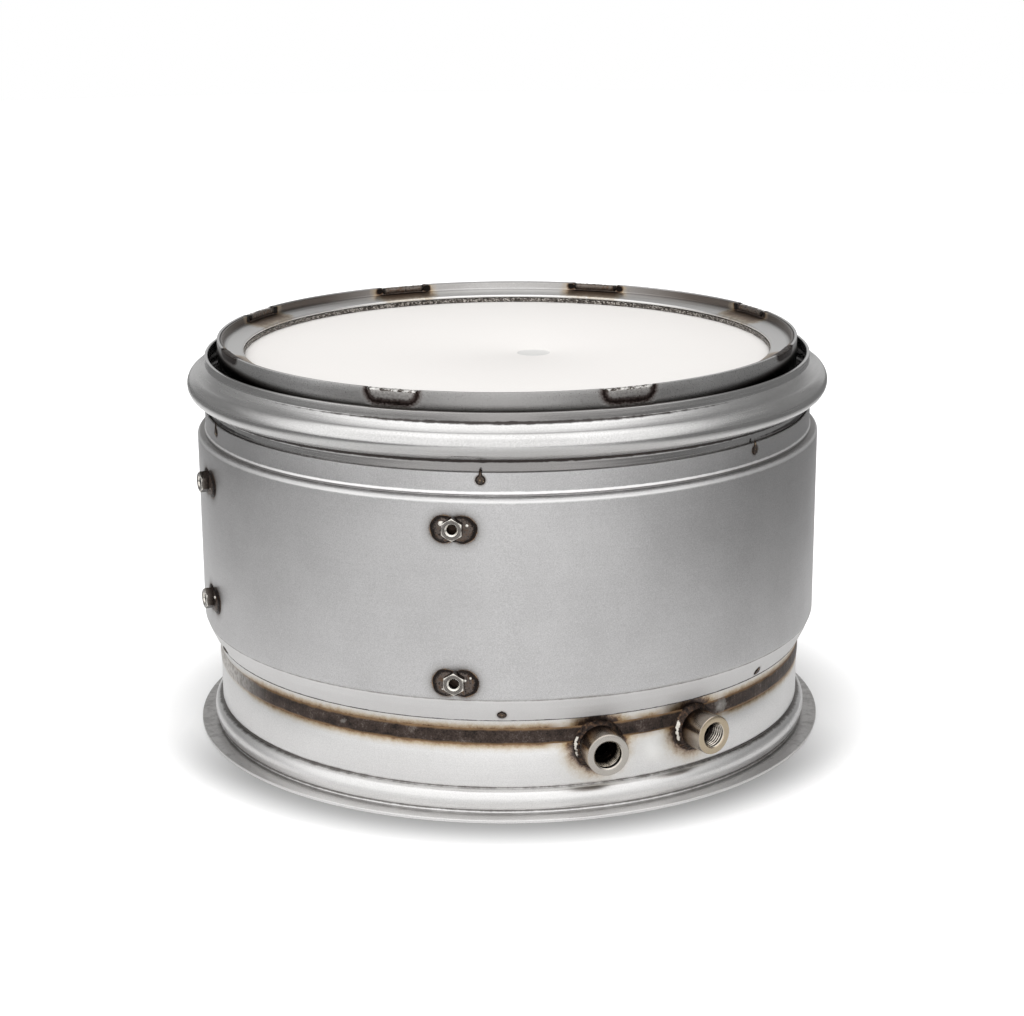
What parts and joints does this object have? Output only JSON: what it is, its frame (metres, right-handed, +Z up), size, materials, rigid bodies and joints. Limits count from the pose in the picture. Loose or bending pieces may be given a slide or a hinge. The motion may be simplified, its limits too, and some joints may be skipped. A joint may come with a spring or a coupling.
{
  "type": "diesel particulate filter",
  "caption": "Round diesel particulate filter can: white ceramic filter held in a steel can with rolled end collars, a heat shell, sensor bungs and weld nuts.",
  "frame": {"origin": "centre of the outlet flange's underside, on the can's axis", "axes": "+Z up the can's axis from the outlet flange to the inlet rim; -Y towards the side that carries the weld nuts and, turned a little towards +X, the two sensor bungs"},
  "size_m": [0.352, 0.352, 0.218],
  "materials": {
    "shell_steel": "satin ferritic stainless sheet, fine blasted grain",
    "collar_steel": "satin rolled stainless with heat tint along the seam weld",
    "can_steel": "mill-finish stainless sheet, slightly darkened",
    "turned_steel": "turned stainless, straw heat tint",
    "weld_metal": "weld metal under dark brown oxide",
    "knitted_wire": "compressed knitted steel wire",
    "filter_ceramic": "matt white extruded ceramic",
    "mat_fibre": "needled ceramic fibre"
  },
  "bodies": {
    "root": {"bottom_tack_weld_1": "weld_metal", "bottom_tack_weld_2": "weld_metal", "bottom_tack_weld_3": "weld_metal", "bottom_tack_weld_4": "weld_metal", "bottom_tack_weld_5": "weld_metal", "bottom_tack_weld_6": "weld_metal", "filter_substrate": "filter_ceramic", "inlet_collar": "collar_steel", "inlet_mesh_ring": "knitted_wire", "inlet_retaining_ring": "can_steel", "inlet_spacer_ring": "knitted_wire", "inlet_stitch_weld_1": "weld_metal", "inlet_stitch_weld_2": "weld_metal", "inlet_stitch_weld_3": "weld_metal", "inlet_stitch_weld_4": "weld_metal", "inlet_stitch_weld_5": "weld_metal", "inlet_stitch_weld_6": "weld_metal", "inlet_stitch_weld_7": "weld_metal", "inlet_stitch_weld_8": "weld_metal", "inner_can": "can_steel", "insulation_blanket": "mat_fibre", "nut_weld_1": "weld_metal", "nut_weld_2": "weld_metal", "nut_weld_3": "weld_metal", "nut_weld_4": "weld_metal", "outer_shell": "shell_steel", "outlet_collar": "collar_steel", "outlet_mesh_ring": "knitted_wire", "outlet_retaining_ring": "can_steel", "outlet_seam_weld": "weld_metal", "outlet_sleeve": "collar_steel", "outlet_stitch_weld_1": "weld_metal", "outlet_stitch_weld_2": "weld_metal", "outlet_stitch_weld_3": "weld_metal", "outlet_stitch_weld_4": "weld_metal", "outlet_stitch_weld_5": "weld_metal", "outlet_stitch_weld_6": "weld_metal", "outlet_stitch_weld_7": "weld_metal", "outlet_stitch_weld_8": "weld_metal", "outlet_support_ring": "can_steel", "slim_bung_weld": "weld_metal", "slim_sensor_bung": "turned_steel", "support_mat": "mat_fibre", "top_tack_weld_1": "weld_metal", "top_tack_weld_2": "weld_metal", "top_tack_weld_3": "weld_metal", "top_tack_weld_4": "weld_metal", "top_tack_weld_5": "weld_metal", "top_tack_weld_6": "weld_metal", "weld_nut_1": "turned_steel", "weld_nut_2": "turned_steel", "weld_nut_3": "turned_steel", "weld_nut_4": "turned_steel", "wide_bung_weld": "weld_metal", "wide_sensor_bung": "turned_steel"}
  },
  "joints": []
}
